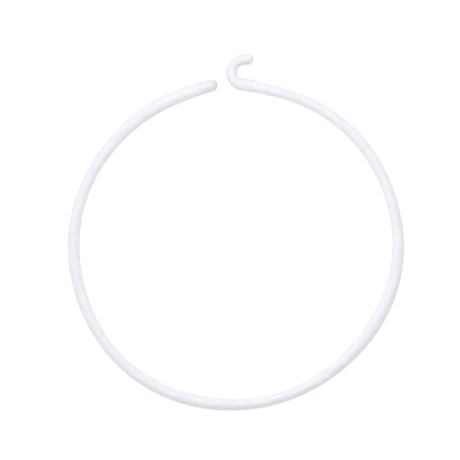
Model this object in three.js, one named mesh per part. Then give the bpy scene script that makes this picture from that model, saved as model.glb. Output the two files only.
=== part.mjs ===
// Open hoop with a hook end: a steel core rod bent into a ring, one soft plastic sleeve over its whole
// length, a bullet-nosed cap on the plain end and a blunt cap on the tip of the hook.
// Millimetres, +Z up. The hoop lies flat on z = 0, with its gap and its hook on the +Y side.

import * as THREE from 'three';

// Ring: its mean centreline, and how far the bent rod strays from a true circle.
// Each wave is [lobes round the ring, height, angle of the first crest in degrees].
const RING_RADIUS = 241;
const OUT_OF_ROUND = [[2, 2.9, 22], [3, 1.0, 1], [6, 0.6, -10]];
const RING_START = 112;
const RING_END = 436;

// Sleeve section: even in height, and thicker and thinner in width along the ring.
const SLEEVE_HEIGHT = 18;
const SLEEVE_WIDTH = 17.6;
const THICK_AND_THIN = [[1, 0.5, 90], [2, 0.9, -48], [3, 0.9, -12], [5, 1.1, -30]];

// Core rod and the hole that it lies in.
const CORE_RADIUS = 3;
const BORE_RADIUS = 3.4;
const CORE_CHAMFER = 0.6;
const FIT_GAP = 0.3;

// Plain end: where the nose points from, and its heading.
const NOSE = new THREE.Vector3(-26.6, 242.4, 0);
const NOSE_HEADING = 13;
const NOSE_WIDTH = 18.8;
const NOSE_CAP_LENGTH = 27;
const NOSE_WALL = 8;

// Hook: a bend that turns back over the ring, then a short straight tip. The sleeve bunches at its foot.
const HOOK_CENTRE = new THREE.Vector3(13, 260, 0);
const HOOK_RADIUS = 19;
const HOOK_START = 264;
const HOOK_END = 94;
const HOOK_WIDTH = 16.4;
const FOOT_WIDTH = 18.4;
const TIP_LENGTH = 16.2;
const TIP_CAP_LENGTH = 10.6;
const TIP_CAP_WIDTH = 17;
const TIP_CORNER = 6.5;
const TIP_WALL = 4.5;

// How far the smooth stretch into the hook holds the headings of its two ends.
const LEAD_REACH = 19;

// Facets: sides of the sleeve and of the core, and steps along each stretch of the rod.
const SLEEVE_SIDES = 16;
const CORE_SIDES = 8;
const STEPS = { tail: 5, ring: 72, lead: 8, bend: 14, tip: 1 };
const CORNER_STEPS = 5;

const UP = new THREE.Vector3(0, 0, 1);

// Sum of a list of waves at an angle in degrees.
function waves(list, angle) {
  const turn = THREE.MathUtils.degToRad(1);
  return list.reduce((sum, [lobes, height, crest]) => (
    sum + height * Math.cos(lobes * (angle - crest) * turn)
  ), 0);
}

// Point at a radius and an angle in degrees from +X.
function polar(radius, angle) {
  const a = THREE.MathUtils.degToRad(angle);
  return new THREE.Vector3(radius * Math.cos(a), radius * Math.sin(a), 0);
}

// The ring, from the plain end round to the foot of the hook.
class RingCurve extends THREE.Curve {
  getPoint(t) {
    const angle = THREE.MathUtils.lerp(RING_START, RING_END, t);
    return polar(RING_RADIUS + waves(OUT_OF_ROUND, angle), angle);
  }
}

// The hook's bend, clockwise about its centre.
class HookCurve extends THREE.Curve {
  getPoint(t) {
    return polar(HOOK_RADIUS, THREE.MathUtils.lerp(HOOK_START, HOOK_END, t)).add(HOOK_CENTRE);
  }
}

// A smooth stretch between two points with given headings.
function blendCurve(from, leaving, to, arriving, reach) {
  return new THREE.CubicBezierCurve3(
    from,
    from.clone().addScaledVector(leaving, reach),
    to.clone().addScaledVector(arriving, -reach),
    to,
  );
}

// Centreline of the rod: tail, ring, lead into the hook, bend and tip.
function rodLine() {
  const ring = new RingCurve();
  const bend = new HookCurve();
  const [ringFirst, ringLast] = [ring.getPoint(0), ring.getPoint(1)];
  const [bendFirst, bendLast] = [bend.getPoint(0), bend.getPoint(1)];
  const nose = polar(-1, NOSE_HEADING);
  const tip = bendLast.clone().addScaledVector(bend.getTangent(1), TIP_LENGTH);
  const line = new THREE.CurvePath();
  line.add(blendCurve(NOSE, nose, ringFirst, ring.getTangent(0), NOSE.distanceTo(ringFirst) / 3));
  line.add(ring);
  line.add(blendCurve(ringLast, ring.getTangent(1), bendFirst, bend.getTangent(0), LEAD_REACH));
  line.add(bend);
  line.add(new THREE.LineCurve3(bendLast, tip));
  return line;
}

const LINE = rodLine();
const ENDS = LINE.getCurveLengths();
const LENGTH = LINE.getLength();
const [TAIL_TO, RING_TO, LEAD_TO] = ENDS;

// Distances along the rod at which every piece has a ring of vertices.
function allMarks() {
  return Object.values(STEPS).flatMap((count, k) => {
    const from = k === 0 ? 0 : ENDS[k - 1];
    return Array.from({ length: count }, (_, n) => from + (ENDS[k] - from) * (n / count));
  });
}

const MARKS = allMarks();

// The marks strictly between two distances, with the two distances as the ends.
function marksBetween(from, to) {
  const clear = 1;
  return [from, ...MARKS.filter((mark) => mark > from + clear && mark < to - clear), to];
}

// Width of the sleeve at a distance along the rod.
function widthAt(along) {
  const { lerp, smoothstep } = THREE.MathUtils;
  const ringPart = THREE.MathUtils.clamp((along - TAIL_TO) / (RING_TO - TAIL_TO), 0, 1);
  const ring = SLEEVE_WIDTH + waves(THICK_AND_THIN, lerp(RING_START, RING_END, ringPart));
  const tail = lerp(NOSE_WIDTH, ring, smoothstep(along, 0, TAIL_TO));
  const foot = lerp(tail, FOOT_WIDTH, smoothstep(along, RING_TO, LEAD_TO));
  return lerp(foot, HOOK_WIDTH, smoothstep(along, LEAD_TO, LEAD_TO + HOOK_RADIUS));
}

// Lays a turned shape along the rod: its axis Y becomes the centreline, X points across the hoop's plane
// and Z points up. Only what lies outside the bore takes the width of the sleeve.
function bendAlongRod(turned, width) {
  const place = turned.getAttribute('position');
  for (let i = 0; i < place.count; i += 1) {
    const along = THREE.MathUtils.clamp(place.getY(i), 0, LENGTH);
    const outside = Math.hypot(place.getX(i), place.getZ(i)) > BORE_RADIUS + FIT_GAP;
    const stretch = outside ? width(along) / SLEEVE_HEIGHT : 1;
    const tangent = LINE.getTangent(along / LENGTH);
    const point = LINE.getPoint(along / LENGTH);
    point.addScaledVector(tangent.cross(UP).normalize(), place.getX(i) * stretch);
    place.setXYZ(i, point.x, point.y, SLEEVE_HEIGHT / 2 + place.getZ(i));
  }
  turned.computeVertexNormals();
  return turned;
}

// Turned shape with a flat side underneath, its corners set out so that its flats keep the radius.
function turn(profile, sides) {
  return new THREE.LatheGeometry(profile, sides, Math.PI / sides);
}

const FLATS = 1 / Math.cos(Math.PI / SLEEVE_SIDES);
const SKIN_RADIUS = (SLEEVE_HEIGHT / 2) * FLATS;

const at = (radius, along) => new THREE.Vector2(radius, along);

// Outer profile of a closed end, from its pole at 0 to its full radius: a flat face and a rounded corner.
function roundedEnd(corner) {
  const points = [at(0, 0)];
  for (let k = 0; k <= CORNER_STEPS; k += 1) {
    const a = (Math.PI / 2) * (k / CORNER_STEPS);
    const radius = SKIN_RADIUS - corner + corner * Math.sin(a);
    if (radius > CORE_CHAMFER) {
      points.push(at(radius, corner * (1 - Math.cos(a))));
    }
  }
  return points;
}

// Steel rod, chamfered at both ends, which stops short of the inside of each cap.
function coreRod() {
  const from = NOSE_WALL + FIT_GAP;
  const to = LENGTH - TIP_WALL - FIT_GAP;
  const marks = marksBetween(from + CORE_CHAMFER, to - CORE_CHAMFER);
  const profile = [
    at(0, from),
    at(CORE_RADIUS - CORE_CHAMFER, from),
    ...marks.map((mark) => at(CORE_RADIUS, mark)),
    at(CORE_RADIUS - CORE_CHAMFER, to),
    at(0, to),
  ];
  return bendAlongRod(turn(profile, CORE_SIDES), widthAt);
}

// Soft plastic tube, open at both ends, butted between the two caps.
function sleeve() {
  const marks = marksBetween(NOSE_CAP_LENGTH, LENGTH - TIP_CAP_LENGTH);
  const outer = marks.map((mark) => at(SKIN_RADIUS, mark));
  const inner = marks.map((mark) => at(BORE_RADIUS, mark)).reverse();
  return bendAlongRod(turn([...outer, ...inner, outer[0].clone()], SLEEVE_SIDES), widthAt);
}

// Cup over the plain end of the rod, with a round nose.
function noseCap() {
  const mouth = NOSE_CAP_LENGTH - FIT_GAP;
  const middle = (SKIN_RADIUS + mouth) / 2;
  const profile = [
    ...roundedEnd(SKIN_RADIUS),
    at(SKIN_RADIUS, middle),
    at(SKIN_RADIUS, mouth),
    at(BORE_RADIUS, mouth),
    at(BORE_RADIUS, NOSE_WALL),
    at(0, NOSE_WALL),
  ];
  return bendAlongRod(turn(profile, SLEEVE_SIDES), widthAt);
}

// Cup over the tip of the hook, a little wider than the sleeve, with a blunt rounded end.
function tipCap() {
  const mouth = LENGTH - TIP_CAP_LENGTH + FIT_GAP;
  const end = roundedEnd(TIP_CORNER).map((point) => at(point.x, LENGTH - point.y)).reverse();
  const profile = [
    at(0, LENGTH - TIP_WALL),
    at(BORE_RADIUS, LENGTH - TIP_WALL),
    at(BORE_RADIUS, mouth),
    at(SKIN_RADIUS, mouth),
    ...end,
  ];
  return bendAlongRod(turn(profile, SLEEVE_SIDES), () => TIP_CAP_WIDTH);
}

const finishes = {
  steel: { color: 0xa9adb2, roughness: 0.35, metalness: 1 },
  softWhite: { color: 0xf1f2f8, roughness: 0.55, metalness: 0 },
  capWhite: { color: 0xeef0f4, roughness: 0.45, metalness: 0 },
};

function piece(name, geometry, finish) {
  const mesh = new THREE.Mesh(geometry, new THREE.MeshStandardMaterial(finishes[finish]));
  mesh.name = name;
  return mesh;
}

const group = new THREE.Group();
group.add(
  piece('core_rod', coreRod(), 'steel'),
  piece('sleeve', sleeve(), 'softWhite'),
  piece('plain_end_cap', noseCap(), 'capWhite'),
  piece('hook_tip_cap', tipCap(), 'capWhite'),
);

// The origin is under the middle of the hoop's outline, hook included, on the surface it lies on.
const outline = new THREE.Box3().setFromObject(group);
const middle = outline.getCenter(new THREE.Vector3());
group.position.set(-middle.x, -middle.y, -outline.min.z);

export default group;
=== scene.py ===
import bisect
import math

import bmesh
import bpy
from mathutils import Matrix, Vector, noise
from mathutils.geometry import interpolate_bezier


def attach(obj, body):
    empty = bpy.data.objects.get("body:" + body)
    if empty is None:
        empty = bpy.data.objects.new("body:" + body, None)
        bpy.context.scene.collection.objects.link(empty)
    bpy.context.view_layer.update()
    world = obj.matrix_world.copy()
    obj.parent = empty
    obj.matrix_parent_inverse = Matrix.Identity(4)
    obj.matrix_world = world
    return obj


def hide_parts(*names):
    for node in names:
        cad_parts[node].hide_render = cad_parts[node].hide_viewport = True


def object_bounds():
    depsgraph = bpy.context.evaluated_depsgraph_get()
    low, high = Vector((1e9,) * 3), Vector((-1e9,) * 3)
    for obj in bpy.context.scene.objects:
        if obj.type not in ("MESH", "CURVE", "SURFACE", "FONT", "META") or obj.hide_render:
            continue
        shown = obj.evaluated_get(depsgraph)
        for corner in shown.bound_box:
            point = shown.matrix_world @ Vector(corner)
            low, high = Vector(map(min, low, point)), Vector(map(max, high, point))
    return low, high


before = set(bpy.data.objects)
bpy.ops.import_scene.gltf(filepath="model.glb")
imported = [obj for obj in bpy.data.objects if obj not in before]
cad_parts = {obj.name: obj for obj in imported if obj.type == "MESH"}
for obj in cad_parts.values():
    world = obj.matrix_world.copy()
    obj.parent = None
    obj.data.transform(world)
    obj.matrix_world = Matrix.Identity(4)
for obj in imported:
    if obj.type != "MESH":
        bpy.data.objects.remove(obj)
cad_low, cad_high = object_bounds()
scene = bpy.context.scene


# ------------------------------------------------------------------ Camera
# The hoop lies flat and is seen from straight above, through a long lens, with its gap and hook at the
# top of the picture. The middle of the picture is a little to the left of the middle of the hoop.

VIEW_WIDTH = 0.690
LENS_MM = 100
SENSOR_MM = 36
AIM_X = -0.0087
AIM_Y = 0.0026

camera_data = bpy.data.cameras.new("camera")
camera_data.lens = LENS_MM
camera_data.sensor_width = SENSOR_MM
camera = bpy.data.objects.new("camera", camera_data)
rod_middle_z = (cad_low.z + cad_high.z) / 2
camera.location = (AIM_X, AIM_Y, rod_middle_z + VIEW_WIDTH * LENS_MM / SENSOR_MM)
scene.collection.objects.link(camera)
scene.camera = camera


# ------------------------------------------------------------------ Floor and light
# A wide, plain white light table under a cool white sky that dims towards the front, a softbox close over
# the hook's side of the ring and another to the left. The table's own glow keeps shadows on it faint.

SKY_COLOUR = (0.960, 0.974, 1.0, 1)
SKY_STRENGTH = 1.20
SKY_DIMMING = 0.60
DIM_AZIMUTH = 294
SOFTBOX_COLOUR = (1.0, 0.97, 0.92)
SOFTBOX_SIZE = 0.6
TOP_SOFTBOX = {"azimuth": 84, "elevation": 76, "distance": 0.82, "power": 2.25}
LEFT_SOFTBOX = {"azimuth": 160, "elevation": 50, "distance": 2.0, "power": 2.2}
FLOOR_SIZE = 30
FLOOR_WHITE = (0.5, 0.5, 0.5, 1)
FLOOR_GLOW = (0.965, 0.98, 1.0, 1)
FLOOR_GLOW_STRENGTH = 0.52

scene.view_settings.view_transform = "Standard"


class Value:
    """A socket in a node tree, wrapped so that what varies can be written as arithmetic."""

    def __init__(self, nodes, socket):
        self.nodes = nodes
        self.socket = socket

    def maths(self, operation, *values):
        return self.nodes.node("ShaderNodeMath", {"operation": operation}, dict(enumerate(values)))

    def __add__(self, other):
        return self.maths("ADD", self, other)

    def __sub__(self, other):
        return self.maths("SUBTRACT", self, other)

    def __rsub__(self, other):
        return self.maths("SUBTRACT", other, self)

    def __mul__(self, other):
        return self.maths("MULTIPLY", self, other)

    def __abs__(self):
        return self.maths("ABSOLUTE", self)

    __radd__ = __add__
    __rmul__ = __mul__

    def rise(self, low, high):
        """0 below low, 1 above high, and smooth between."""
        settings = {"interpolation_type": "SMOOTHSTEP"}
        return self.nodes.node("ShaderNodeMapRange", settings, {0: self, 1: low, 2: high, 3: 0, 4: 1})


class Nodes:
    """The node tree of the sky or of a finish."""

    def __init__(self, owner):
        owner.use_nodes = True
        self.tree = owner.node_tree

    def node(self, kind, settings, values, output=0):
        made = self.tree.nodes.new(kind)
        for name, value in settings.items():
            setattr(made, name, value)
        for socket, value in values.items():
            self.connect(made.inputs[socket], value)
        return Value(self, made.outputs[output])

    def connect(self, socket, value):
        if isinstance(value, Value):
            self.tree.links.new(value.socket, socket)
        else:
            socket.default_value = value


def from_the_side(azimuth, elevation):
    """Unit vector towards a place in the sky."""
    level = math.cos(math.radians(elevation))
    turn = math.radians(azimuth)
    return Vector((math.cos(turn) * level, math.sin(turn) * level, math.sin(math.radians(elevation))))


scene.world = bpy.data.worlds.new("sky")
sky = Nodes(scene.world)
way = sky.node("ShaderNodeTexCoord", {}, {}, "Generated")
dim_side = from_the_side(DIM_AZIMUTH, 0) * SKY_DIMMING
towards_dim = sky.node("ShaderNodeVectorMath", {"operation": "DOT_PRODUCT"}, {0: way, 1: dim_side}, "Value")
background = sky.tree.nodes["Background"]
background.inputs["Color"].default_value = SKY_COLOUR
sky.connect(background.inputs["Strength"], SKY_STRENGTH - towards_dim.maths("MAXIMUM", towards_dim, 0))


def softbox(name, azimuth, elevation, distance, power):
    lamp = bpy.data.lights.new(name, "AREA")
    lamp.size = SOFTBOX_SIZE
    lamp.energy = power
    lamp.color = SOFTBOX_COLOUR
    stand = bpy.data.objects.new(name, lamp)
    towards = from_the_side(azimuth, elevation)
    stand.location = towards * distance
    stand.rotation_euler = towards.to_track_quat("Z", "Y").to_euler()
    scene.collection.objects.link(stand)


softbox("top_softbox", **TOP_SOFTBOX)
softbox("left_softbox", **LEFT_SOFTBOX)

floor_mesh = bpy.data.meshes.new("floor")
floor_bm = bmesh.new()
bmesh.ops.create_grid(floor_bm, x_segments=1, y_segments=1, size=FLOOR_SIZE / 2)
floor_bm.to_mesh(floor_mesh)
floor_bm.free()
floor = bpy.data.objects.new("floor", floor_mesh)
floor_material = bpy.data.materials.new("floor_white")
floor_material.use_nodes = True
floor_surface = floor_material.node_tree.nodes["Principled BSDF"]
floor_surface.inputs["Base Color"].default_value = FLOOR_WHITE
floor_surface.inputs["Roughness"].default_value = 0.9
floor_surface.inputs["Emission Color"].default_value = FLOOR_GLOW
floor_surface.inputs["Emission Strength"].default_value = FLOOR_GLOW_STRENGTH
floor_mesh.materials.append(floor_material)
scene.collection.objects.link(floor)


# ------------------------------------------------------------------ Core rod
# A hard-drawn steel rod, bent once round into the ring and then turned back outward into the hook.
# Its ends are cut square and chamfered. It lies inside the sleeve and the caps, out of sight.

RING_RADIUS = 0.241
OUT_OF_ROUND = [(2, 0.0029, 22), (3, 0.0010, 1), (6, 0.0006, -10)]
RING_START = 112
RING_END = 436
NOSE = Vector((-0.0266, 0.2424, 0))
NOSE_HEADING = 13
HOOK_CENTRE = Vector((0.013, 0.260, 0))
HOOK_RADIUS = 0.019
HOOK_START = 264
HOOK_END = 94
LEAD_REACH = 0.019
TIP_LENGTH = 0.0162
ROD_RADIUS = 0.003
ROD_CHAMFER = 0.0006
NOSE_WALL = 0.008
TIP_WALL = 0.0045
FIT_GAP = 0.0003
BRIGHT_STEEL = (0.56, 0.57, 0.59, 1)
OILY_STEEL = (0.42, 0.42, 0.43, 1)


def polar(radius, degrees):
    return Vector((radius * math.cos(math.radians(degrees)), radius * math.sin(math.radians(degrees)), 0))


def waves(terms, degrees):
    """Sum of waves round the ring, each given as its lobes, its height and the angle of a crest."""
    return sum(high * math.cos(math.radians(lobes * (degrees - crest))) for lobes, high, crest in terms)


def ring_point(t):
    degrees = RING_START + (RING_END - RING_START) * t
    return polar(RING_RADIUS + waves(OUT_OF_ROUND, degrees), degrees)


def hook_point(t):
    return HOOK_CENTRE + polar(HOOK_RADIUS, HOOK_START + (HOOK_END - HOOK_START) * t)


def heading(curve, t):
    """Direction of travel along a curve given as a function of 0 to 1."""
    return (curve(t + 1e-4) - curve(t - 1e-4)).normalized()


def blend_points(start, leaving, end, arriving, reach, count):
    return interpolate_bezier(start, start + leaving * reach, end - arriving * reach, end, count)


def rod_line():
    """Close points down the middle of the rod, from the nose round to the tip of the hook."""
    ring_start, ring_end = ring_point(0), ring_point(1)
    tail_reach = (NOSE - ring_start).length / 3
    tip = hook_point(1) + heading(hook_point, 1) * TIP_LENGTH
    stretches = [
        blend_points(NOSE, polar(-1, NOSE_HEADING), ring_start, heading(ring_point, 0), tail_reach, 120),
        [ring_point(k / 1200) for k in range(1201)],
        blend_points(ring_end, heading(ring_point, 1), hook_point(0), heading(hook_point, 0), LEAD_REACH, 80),
        [hook_point(k / 120) for k in range(121)],
        [hook_point(1), tip],
    ]
    points, lengths, joins = [stretches[0][0]], [0.0], []
    for stretch in stretches:
        for point in stretch[1:]:
            lengths.append(lengths[-1] + (point - points[-1]).length)
            points.append(point)
        joins.append(lengths[-1])
    return points, lengths, joins


rod_points, rod_lengths, rod_joins = rod_line()
TAIL_TO, RING_TO, LEAD_TO, BEND_TO, ROD_TO = rod_joins


def on_rod(along):
    """Point on the rod's centreline at a distance from the nose, and the direction across the hoop there."""
    k = min(max(bisect.bisect_right(rod_lengths, along), 1), len(rod_lengths) - 1)
    before, after = rod_points[k - 1], rod_points[k]
    step = rod_lengths[k] - rod_lengths[k - 1]
    point = before.lerp(after, (along - rod_lengths[k - 1]) / step)
    back = rod_points[max(k - 2, 0)]
    ahead = rod_points[min(k + 1, len(rod_points) - 1)]
    across = (ahead - back).cross(Vector((0, 0, 1))).normalized()
    return point, across


def turned(profile, sides):
    """A shape turned about the Y axis from a profile of (radius, distance along) points."""
    bm = bmesh.new()
    corners = [bm.verts.new((radius, along, 0)) for radius, along in profile]
    edges = [bm.edges.new(pair) for pair in zip(corners, corners[1:])]
    bmesh.ops.spin(
        bm, geom=corners + edges, axis=(0, 1, 0), cent=(0, 0, 0),
        angle=2 * math.pi, steps=sides, use_merge=True,
    )
    bmesh.ops.remove_doubles(bm, verts=bm.verts, dist=1e-7)
    bmesh.ops.recalc_face_normals(bm, faces=bm.faces)
    return bm


def radius_of(vert):
    return math.hypot(vert.co.x, vert.co.z)


def hoops_at(bm, radius, along):
    """The edges that run round a turned shape at one corner of its profile."""
    def at_corner(vert):
        return abs(radius_of(vert) - radius) < 1e-5 and abs(vert.co.y - along) < 1e-5

    return [edge for edge in bm.edges if all(at_corner(vert) for vert in edge.verts)]


def round_corner(bm, radius, along, size, segments=4):
    bmesh.ops.bevel(
        bm, geom=hoops_at(bm, radius, along), offset=size, offset_type="OFFSET",
        affect="EDGES", segments=segments, profile=0.5, material=-1,
    )


def cut_lengthwise(bm, radius, longer_than, cuts):
    """Cuts the long faces of a turned shape at one radius into short ones, so that they can bend."""
    long_edges = [
        edge for edge in bm.edges
        if abs(edge.verts[0].co.y - edge.verts[1].co.y) > longer_than
        and all(abs(radius_of(vert) - radius) < 1e-5 for vert in edge.verts)
    ]
    bmesh.ops.subdivide_edges(bm, edges=long_edges, cuts=cuts, use_grid_fill=True)


def bend_along_rod(bm, swell=None):
    """Bends a straight turned shape along the rod, and keeps each point's straight place for the finish.
    swell(along, x, z) gives the point's x and z once the piece's own unevenness is added."""
    straight = bm.verts.layers.float_vector.new("straight")
    for vert in bm.verts:
        x, along, z = vert.co
        vert[straight] = (x, along, z)
        if swell:
            x, z = swell(along, x, z)
        point, across = on_rod(along)
        vert.co = point + across * x + Vector((0, 0, z))


def ring_reach():
    """The ring's furthest reach to the left and downwards from its centre, at the middle of its height."""
    outside = []
    for along in rod_lengths[::4]:
        point, across = on_rod(along)
        outside.append(point + across * sleeve_width(along) / 2)
    return Vector((min(p.x for p in outside), min(p.y for p in outside), 0))


def place(bm, name):
    """Moves a bent piece from the ring's centre into the frame and makes it an object."""
    corner = Vector((cad_low.x, cad_low.y, rod_middle_z))
    bmesh.ops.translate(bm, verts=bm.verts, vec=corner - ring_reach())
    mesh = bpy.data.meshes.new(name)
    bm.to_mesh(mesh)
    bm.free()
    mesh.shade_smooth()
    piece = bpy.data.objects.new(name, mesh)
    scene.collection.objects.link(piece)
    return piece


SLEEVE_HEIGHT = cad_high.z - cad_low.z
SLEEVE_WIDTH = 0.0176
THICK_AND_THIN = [(1, 0.0005, 90), (2, 0.0009, -48), (3, 0.0009, -12), (5, 0.0011, -30)]
NOSE_WIDTH = 0.0188
FOOT_WIDTH = 0.0184
HOOK_WIDTH = 0.0164


def ease(value, low, high):
    t = min(max((value - low) / (high - low), 0), 1)
    return t * t * (3 - 2 * t)


def mix(a, b, t):
    return a + (b - a) * t


def sleeve_width(along):
    """Width of the sleeve, seen from above, at a distance from the nose."""
    part = min(max((along - TAIL_TO) / (RING_TO - TAIL_TO), 0), 1)
    ring = SLEEVE_WIDTH + waves(THICK_AND_THIN, mix(RING_START, RING_END, part))
    tail = mix(NOSE_WIDTH, ring, ease(along, 0, TAIL_TO))
    foot = mix(tail, FOOT_WIDTH, ease(along, RING_TO, LEAD_TO))
    return mix(foot, HOOK_WIDTH, ease(along, LEAD_TO, LEAD_TO + HOOK_RADIUS))


class Finish(Nodes):
    """A material with one Principled surface, and the nodes that drive what varies over it."""

    def __init__(self, name, **surface):
        self.material = bpy.data.materials.new(name)
        super().__init__(self.material)
        self.surface = self.tree.nodes["Principled BSDF"]
        for socket, value in surface.items():
            self.surface.inputs[socket.replace("_", " ")].default_value = value

    def drive(self, **sockets):
        for name, value in sockets.items():
            self.connect(self.surface.inputs[name.replace("_", " ")], value)

    def straight(self, scale=(1, 1, 1)):
        """The point's place on the straight rod, before bending: across, along and up."""
        found = self.node("ShaderNodeAttribute", {"attribute_name": "straight"}, {}, "Vector")
        return self.node("ShaderNodeVectorMath", {"operation": "MULTIPLY"}, {0: found, 1: scale})

    def noise(self, vector, scale, detail=2.0, roughness=0.5):
        values = {"Vector": vector, "Scale": scale, "Detail": detail, "Roughness": roughness}
        return self.node("ShaderNodeTexNoise", {}, values)

    def blend(self, factor, first, second):
        """Mixes two colours."""
        return self.node("ShaderNodeMix", {"data_type": "RGBA"}, {0: factor, 6: first, 7: second}, 2)

    def bump(self, height, distance, strength=1.0):
        values = {"Height": height, "Distance": distance, "Strength": strength}
        return self.node("ShaderNodeBump", {}, values)


def drawn_steel():
    """Bright drawn wire: fine die lines along it, and a thin, uneven film of drawing oil."""
    finish = Finish("drawn_steel", Metallic=1.0)
    lines = finish.noise(finish.straight((1, 0.01, 1)), 4000, 3)
    film = finish.noise(finish.straight(), 60, 3)
    finish.drive(
        Base_Color=finish.blend(film, BRIGHT_STEEL, OILY_STEEL),
        Roughness=0.26 + lines * 0.12 + film * 0.14,
        Normal=finish.bump(lines, 0.00002),
    )
    return finish.material


rod_from = NOSE_WALL + FIT_GAP
rod_to = ROD_TO - TIP_WALL - FIT_GAP
rod = turned([(0, rod_from), (ROD_RADIUS, rod_from), (ROD_RADIUS, rod_to), (0, rod_to)], sides=24)
for rod_end in (rod_from, rod_to):
    round_corner(rod, ROD_RADIUS, rod_end, ROD_CHAMFER, segments=1)
cut_lengthwise(rod, ROD_RADIUS, longer_than=0.1, cuts=760)
bend_along_rod(rod)
steel_rod = place(rod, "steel_rod")
steel_rod.data.materials.append(drawn_steel())
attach(steel_rod, "root")
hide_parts("core_rod")


# ------------------------------------------------------------------ Sleeve
# One thick tube of soft white plastic, pushed over the whole rod before its caps. It is a little thicker
# in some places than in others, its skin is faintly lumpy, and it puckers inside the tight bend.

SKIN_RADIUS = SLEEVE_HEIGHT / 2
BORE_RADIUS = 0.0034
NOSE_CAP_LENGTH = 0.027
TIP_CAP_LENGTH = 0.0106
LIP = 0.00015
SEAM = 0.00006
LUMP_HEIGHT = 0.00016
LUMP_LENGTH = 0.018
THIN_WIDTH = 0.0155
THICK_WIDTH = 0.0200
THIN_HEIGHT = 0.94
THICK_HEIGHT = 0.99
PUCKER_HEIGHT = 0.00022
PUCKER_LENGTH = 0.0034
PUCKER_SKEW = 1.2
PUCKER_LEAD = 0.006
PUCKER_FADE = 0.016
SLEEVE_WHITES = ((0.634, 0.628, 0.680, 1), (0.674, 0.681, 0.687, 1))
STREAK_WHITE = (0.67, 0.672, 0.688, 1)
SCUFF_GREY = (0.53, 0.532, 0.548, 1)


def swell_sleeve(along, x, z):
    """The tube's changing width and height, its lumps, and its puckers inside the hook's bend."""
    radius = math.hypot(x, z)
    if radius < BORE_RADIUS + FIT_GAP:
        return x, z
    width = sleeve_width(along)
    height = SLEEVE_HEIGHT * mix(THIN_HEIGHT, THICK_HEIGHT, ease(width, THIN_WIDTH, THICK_WIDTH))
    lump = LUMP_HEIGHT * noise.noise(Vector((x, along, z)) / LUMP_LENGTH)
    fading_in = ease(along, LEAD_TO - PUCKER_LEAD, LEAD_TO - PUCKER_LEAD + PUCKER_FADE)
    fading_out = ease(along, BEND_TO - PUCKER_FADE, BEND_TO)
    pucker = PUCKER_HEIGHT * fading_in * (1 - fading_out) * max(x / radius, 0) ** 2
    pucker *= math.sin(2 * math.pi * along / PUCKER_LENGTH + PUCKER_SKEW * z / radius)
    grown = 1 + (lump + pucker) / radius
    return x * grown * width / SLEEVE_HEIGHT, z * grown * height / SLEEVE_HEIGHT


def soft_plastic():
    """Soft satin plastic, cool white: cloudy colour, faint draw lines along it, a fine pebbled skin,
    and scuffs where it is gripped and where it has lain on the floor."""
    finish = Finish(
        "soft_plastic", IOR=1.5, Specular_IOR_Level=0.35, Subsurface_Weight=0.15, Subsurface_Scale=0.002,
        Subsurface_Radius=(1.0, 1.0, 1.0),
    )
    clouds = finish.noise(finish.straight((1, 0.3, 1)), 150, 4, 0.65).rise(0.30, 0.70)
    flow = finish.noise(finish.straight((1, 0.03, 1)), 900, 3, 0.6)
    pebble = finish.noise(finish.straight(), 1200, 3, 0.7)
    scuffs = finish.noise(finish.straight((1, 0.3, 1)), 260, 5, 0.7).rise(0.56, 0.74)
    worn = scuffs * finish.noise(finish.straight(), 9, 1).rise(0.45, 0.62)
    white = finish.blend(clouds, *SLEEVE_WHITES)
    streaked = finish.blend(flow.rise(0.50, 0.85) * 0.5, white, STREAK_WHITE)
    finish.drive(
        Base_Color=finish.blend(worn * 0.35, streaked, SCUFF_GREY),
        Roughness=0.40 + clouds * 0.08 + worn * 0.16 - flow * 0.06,
        Normal=finish.bump(pebble * 0.8 + flow * 0.8 + clouds * 0.7 - worn * 0.4, 0.0002),
    )
    return finish.material


sleeve_from = NOSE_CAP_LENGTH - FIT_GAP + SEAM
sleeve_to = ROD_TO - TIP_CAP_LENGTH + FIT_GAP - SEAM
tube = turned([
    (BORE_RADIUS, sleeve_from),
    (SKIN_RADIUS, sleeve_from),
    (SKIN_RADIUS, sleeve_to),
    (BORE_RADIUS, sleeve_to),
    (BORE_RADIUS, sleeve_from),
], sides=64)
for sleeve_end in (sleeve_from, sleeve_to):
    round_corner(tube, SKIN_RADIUS, sleeve_end, LIP)
cut_lengthwise(tube, SKIN_RADIUS, longer_than=0.1, cuts=950)
cut_lengthwise(tube, BORE_RADIUS, longer_than=0.1, cuts=300)
bend_along_rod(tube, swell_sleeve)
soft_sleeve = place(tube, "soft_sleeve")
soft_sleeve.data.materials.append(soft_plastic())
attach(soft_sleeve, "root")
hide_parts("sleeve")


# ------------------------------------------------------------------ Cap on the plain end
# A moulded cup of the same soft plastic with a round nose, pushed over the cut end of the rod and up
# against the sleeve. Its mouth has a small rounded lip, so the seam is a fine groove. The nose is slimmer
# in height than in width, and tapers on its outer side. Its whites are the sleeve's made 3% darker, as
# painted shade on the nose.

OUTSIDE_FROM = SKIN_RADIUS * 0.7
NOSE_SLIMNESS = 0.84
MOUTH_SLIMNESS = 0.98
NOSE_SLIMS = 0.015
NOSE_SLANT = 0.10
NOSE_OUTER_TAPER = 0.85
NOSE_FLAT = 0.0002
# The sleeve's whites made 3% darker: painted shade on the nose.
NOSE_SHADED_WHITES = ((0.615, 0.609, 0.659, 1), (0.655, 0.661, 0.667, 1))
# Grey painted over each cap's end as painted shade of the round end, fading out away from the end.
END_SHADE_GREY = (0.53, 0.535, 0.548, 1)
END_SHADE_FROM = 0.004
PARTING_EDGE = (0.00006, 0.00022)
GATE_EDGE = (0.0010, 0.0014)


def share_outside(x, z):
    """0 in a cap's bore and 1 on its outside, so that the hole for the rod stays round."""
    return ease(math.hypot(x, z), BORE_RADIUS, OUTSIDE_FROM)


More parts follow.
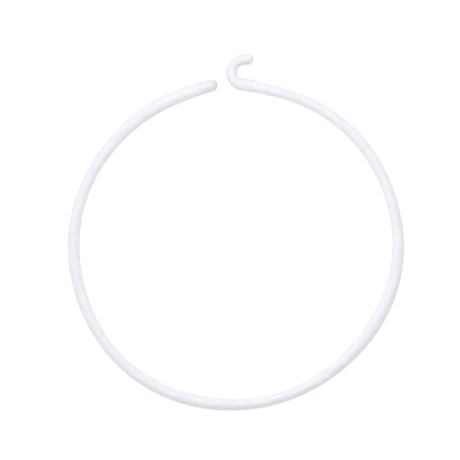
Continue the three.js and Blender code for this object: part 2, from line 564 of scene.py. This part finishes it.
def swell_nose(along, x, z):
    """The nose's slimmer height and the taper of its outer side."""
    outside = share_outside(x, z)
    slimness = mix(NOSE_SLIMNESS, MOUTH_SLIMNESS, ease(along, 0, NOSE_SLIMS))
    taper = mix(NOSE_OUTER_TAPER, 1, ease(along, 0, NOSE_CAP_LENGTH)) if x > 0 else 1
    width = taper * sleeve_width(along) / SLEEVE_HEIGHT
    return x * mix(1, width, outside), z * mix(1, slimness, outside)


def slant_end(bm, bore_end, end, reach, slope, pivot):
    """Cuts the outside of a cap's end back on one side: by slope, across the hoop from the pivot, and less
    and less over the reach. A reach or a slope below 0 is for the end that faces the other way."""
    for vert in bm.verts:
        in_bore = radius_of(vert) < BORE_RADIUS + FIT_GAP and (vert.co.y - bore_end) * reach > -1e-8
        share = 0 if in_bore else 1 - ease((vert.co.y - end) / reach, 0, 1)
        vert.co.y += slope * share * (vert.co.x - pivot)


def moulded_plastic(name, gate_along, end_shade_to, lilac, milk):
    """Moulded soft plastic: a finer, more even skin than the sleeve's, with a faint parting line down both
    sides, a small dull gate mark on the middle of its end, and painted shade that greys it towards its end."""
    finish = Finish(
        name, IOR=1.5, Subsurface_Weight=0.15, Subsurface_Scale=0.002,
        Subsurface_Radius=(1.0, 1.0, 1.0),
    )
    clouds = finish.noise(finish.straight(), 160, 3, 0.6)
    spark = finish.noise(finish.straight(), 2600, 2, 0.7)
    apart = finish.node("ShaderNodeSeparateXYZ", {}, {0: finish.straight()}, "Z")
    parting = 1 - abs(apart).rise(*PARTING_EDGE)
    to_gate = finish.node(
        "ShaderNodeVectorMath", {"operation": "DISTANCE"},
        {0: finish.straight(), 1: (0, gate_along, 0)}, "Value",
    )
    gate = 1 - to_gate.rise(*GATE_EDGE)
    # Painted shade: the cap is painted greyer near its end.
    end_shade = 1 - to_gate.rise(END_SHADE_FROM, end_shade_to)
    scuffs = finish.noise(finish.straight(), 420, 5, 0.7).rise(0.55, 0.72)
    white = finish.blend(clouds.rise(0.30, 0.70), lilac, milk)
    finish.drive(
        Base_Color=finish.blend(scuffs * 0.2 + gate * 0.2 + end_shade * 0.45, white, END_SHADE_GREY),
        Roughness=0.42 + clouds * 0.08 + scuffs * 0.14 + gate * 0.15,
        Normal=finish.bump(spark * 0.3 + clouds * 0.5 + parting * 0.6 + gate * 0.5, 0.00012),
    )
    return finish.material


nose_mouth = NOSE_CAP_LENGTH - FIT_GAP
nose = turned([
    (0, 0),
    (SKIN_RADIUS, 0),
    (SKIN_RADIUS, nose_mouth),
    (BORE_RADIUS, nose_mouth),
    (BORE_RADIUS, NOSE_WALL),
    (0, NOSE_WALL),
], sides=72)
round_corner(nose, SKIN_RADIUS, nose_mouth, LIP)
round_corner(nose, SKIN_RADIUS, 0, SKIN_RADIUS - NOSE_FLAT, segments=24)
cut_lengthwise(nose, SKIN_RADIUS, longer_than=0.005, cuts=24)
cut_lengthwise(nose, BORE_RADIUS, longer_than=0.005, cuts=12)
slant_end(nose, NOSE_WALL, 0, NOSE_SLIMS, -NOSE_SLANT, 0)
bend_along_rod(nose, swell_nose)
nose_cap = place(nose, "nose_cap")
nose_cap.data.materials.append(moulded_plastic("nose_plastic", 0, NOSE_CAP_LENGTH, *NOSE_SHADED_WHITES))
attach(nose_cap, "root")
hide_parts("plain_end_cap")


# ------------------------------------------------------------------ Cap on the tip of the hook
# A shorter moulded cup with a blunt, rounded end. It is a little wider than the sleeve in the hook, so it
# stands out as a slight rim, and stops the sleeve and a rail from slipping off the tip.

TIP_CAP_WIDTH = 0.017
TIP_CORNER = 0.0065
TIP_CROWN = 0.0006
TIP_SLANT = 0.22
TIP_WHITES = ((0.636, 0.641, 0.640, 1), (0.664, 0.669, 0.667, 1))


def swell_tip(along, x, z):
    """The tip's own width and height, the same all along it."""
    width = mix(1, TIP_CAP_WIDTH / SLEEVE_HEIGHT, share_outside(x, z))
    return x * width, z * width


tip_mouth = ROD_TO - TIP_CAP_LENGTH + FIT_GAP
tip = turned([
    (0, ROD_TO - TIP_WALL),
    (BORE_RADIUS, ROD_TO - TIP_WALL),
    (BORE_RADIUS, tip_mouth),
    (SKIN_RADIUS, tip_mouth),
    (SKIN_RADIUS, ROD_TO - TIP_CROWN),
    (0, ROD_TO),
], sides=72)
round_corner(tip, SKIN_RADIUS, tip_mouth, LIP)
round_corner(tip, SKIN_RADIUS, ROD_TO - TIP_CROWN, TIP_CORNER, segments=16)
slant_end(
    tip, ROD_TO - TIP_WALL, ROD_TO, LIP + tip_mouth - ROD_TO, -TIP_SLANT, TIP_CORNER - SKIN_RADIUS,
)
bend_along_rod(tip, swell_tip)
tip_cap = place(tip, "tip_cap")
tip_cap.data.materials.append(moulded_plastic("tip_plastic", ROD_TO, TIP_CAP_LENGTH, *TIP_WHITES))
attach(tip_cap, "root")
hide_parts("hook_tip_cap")
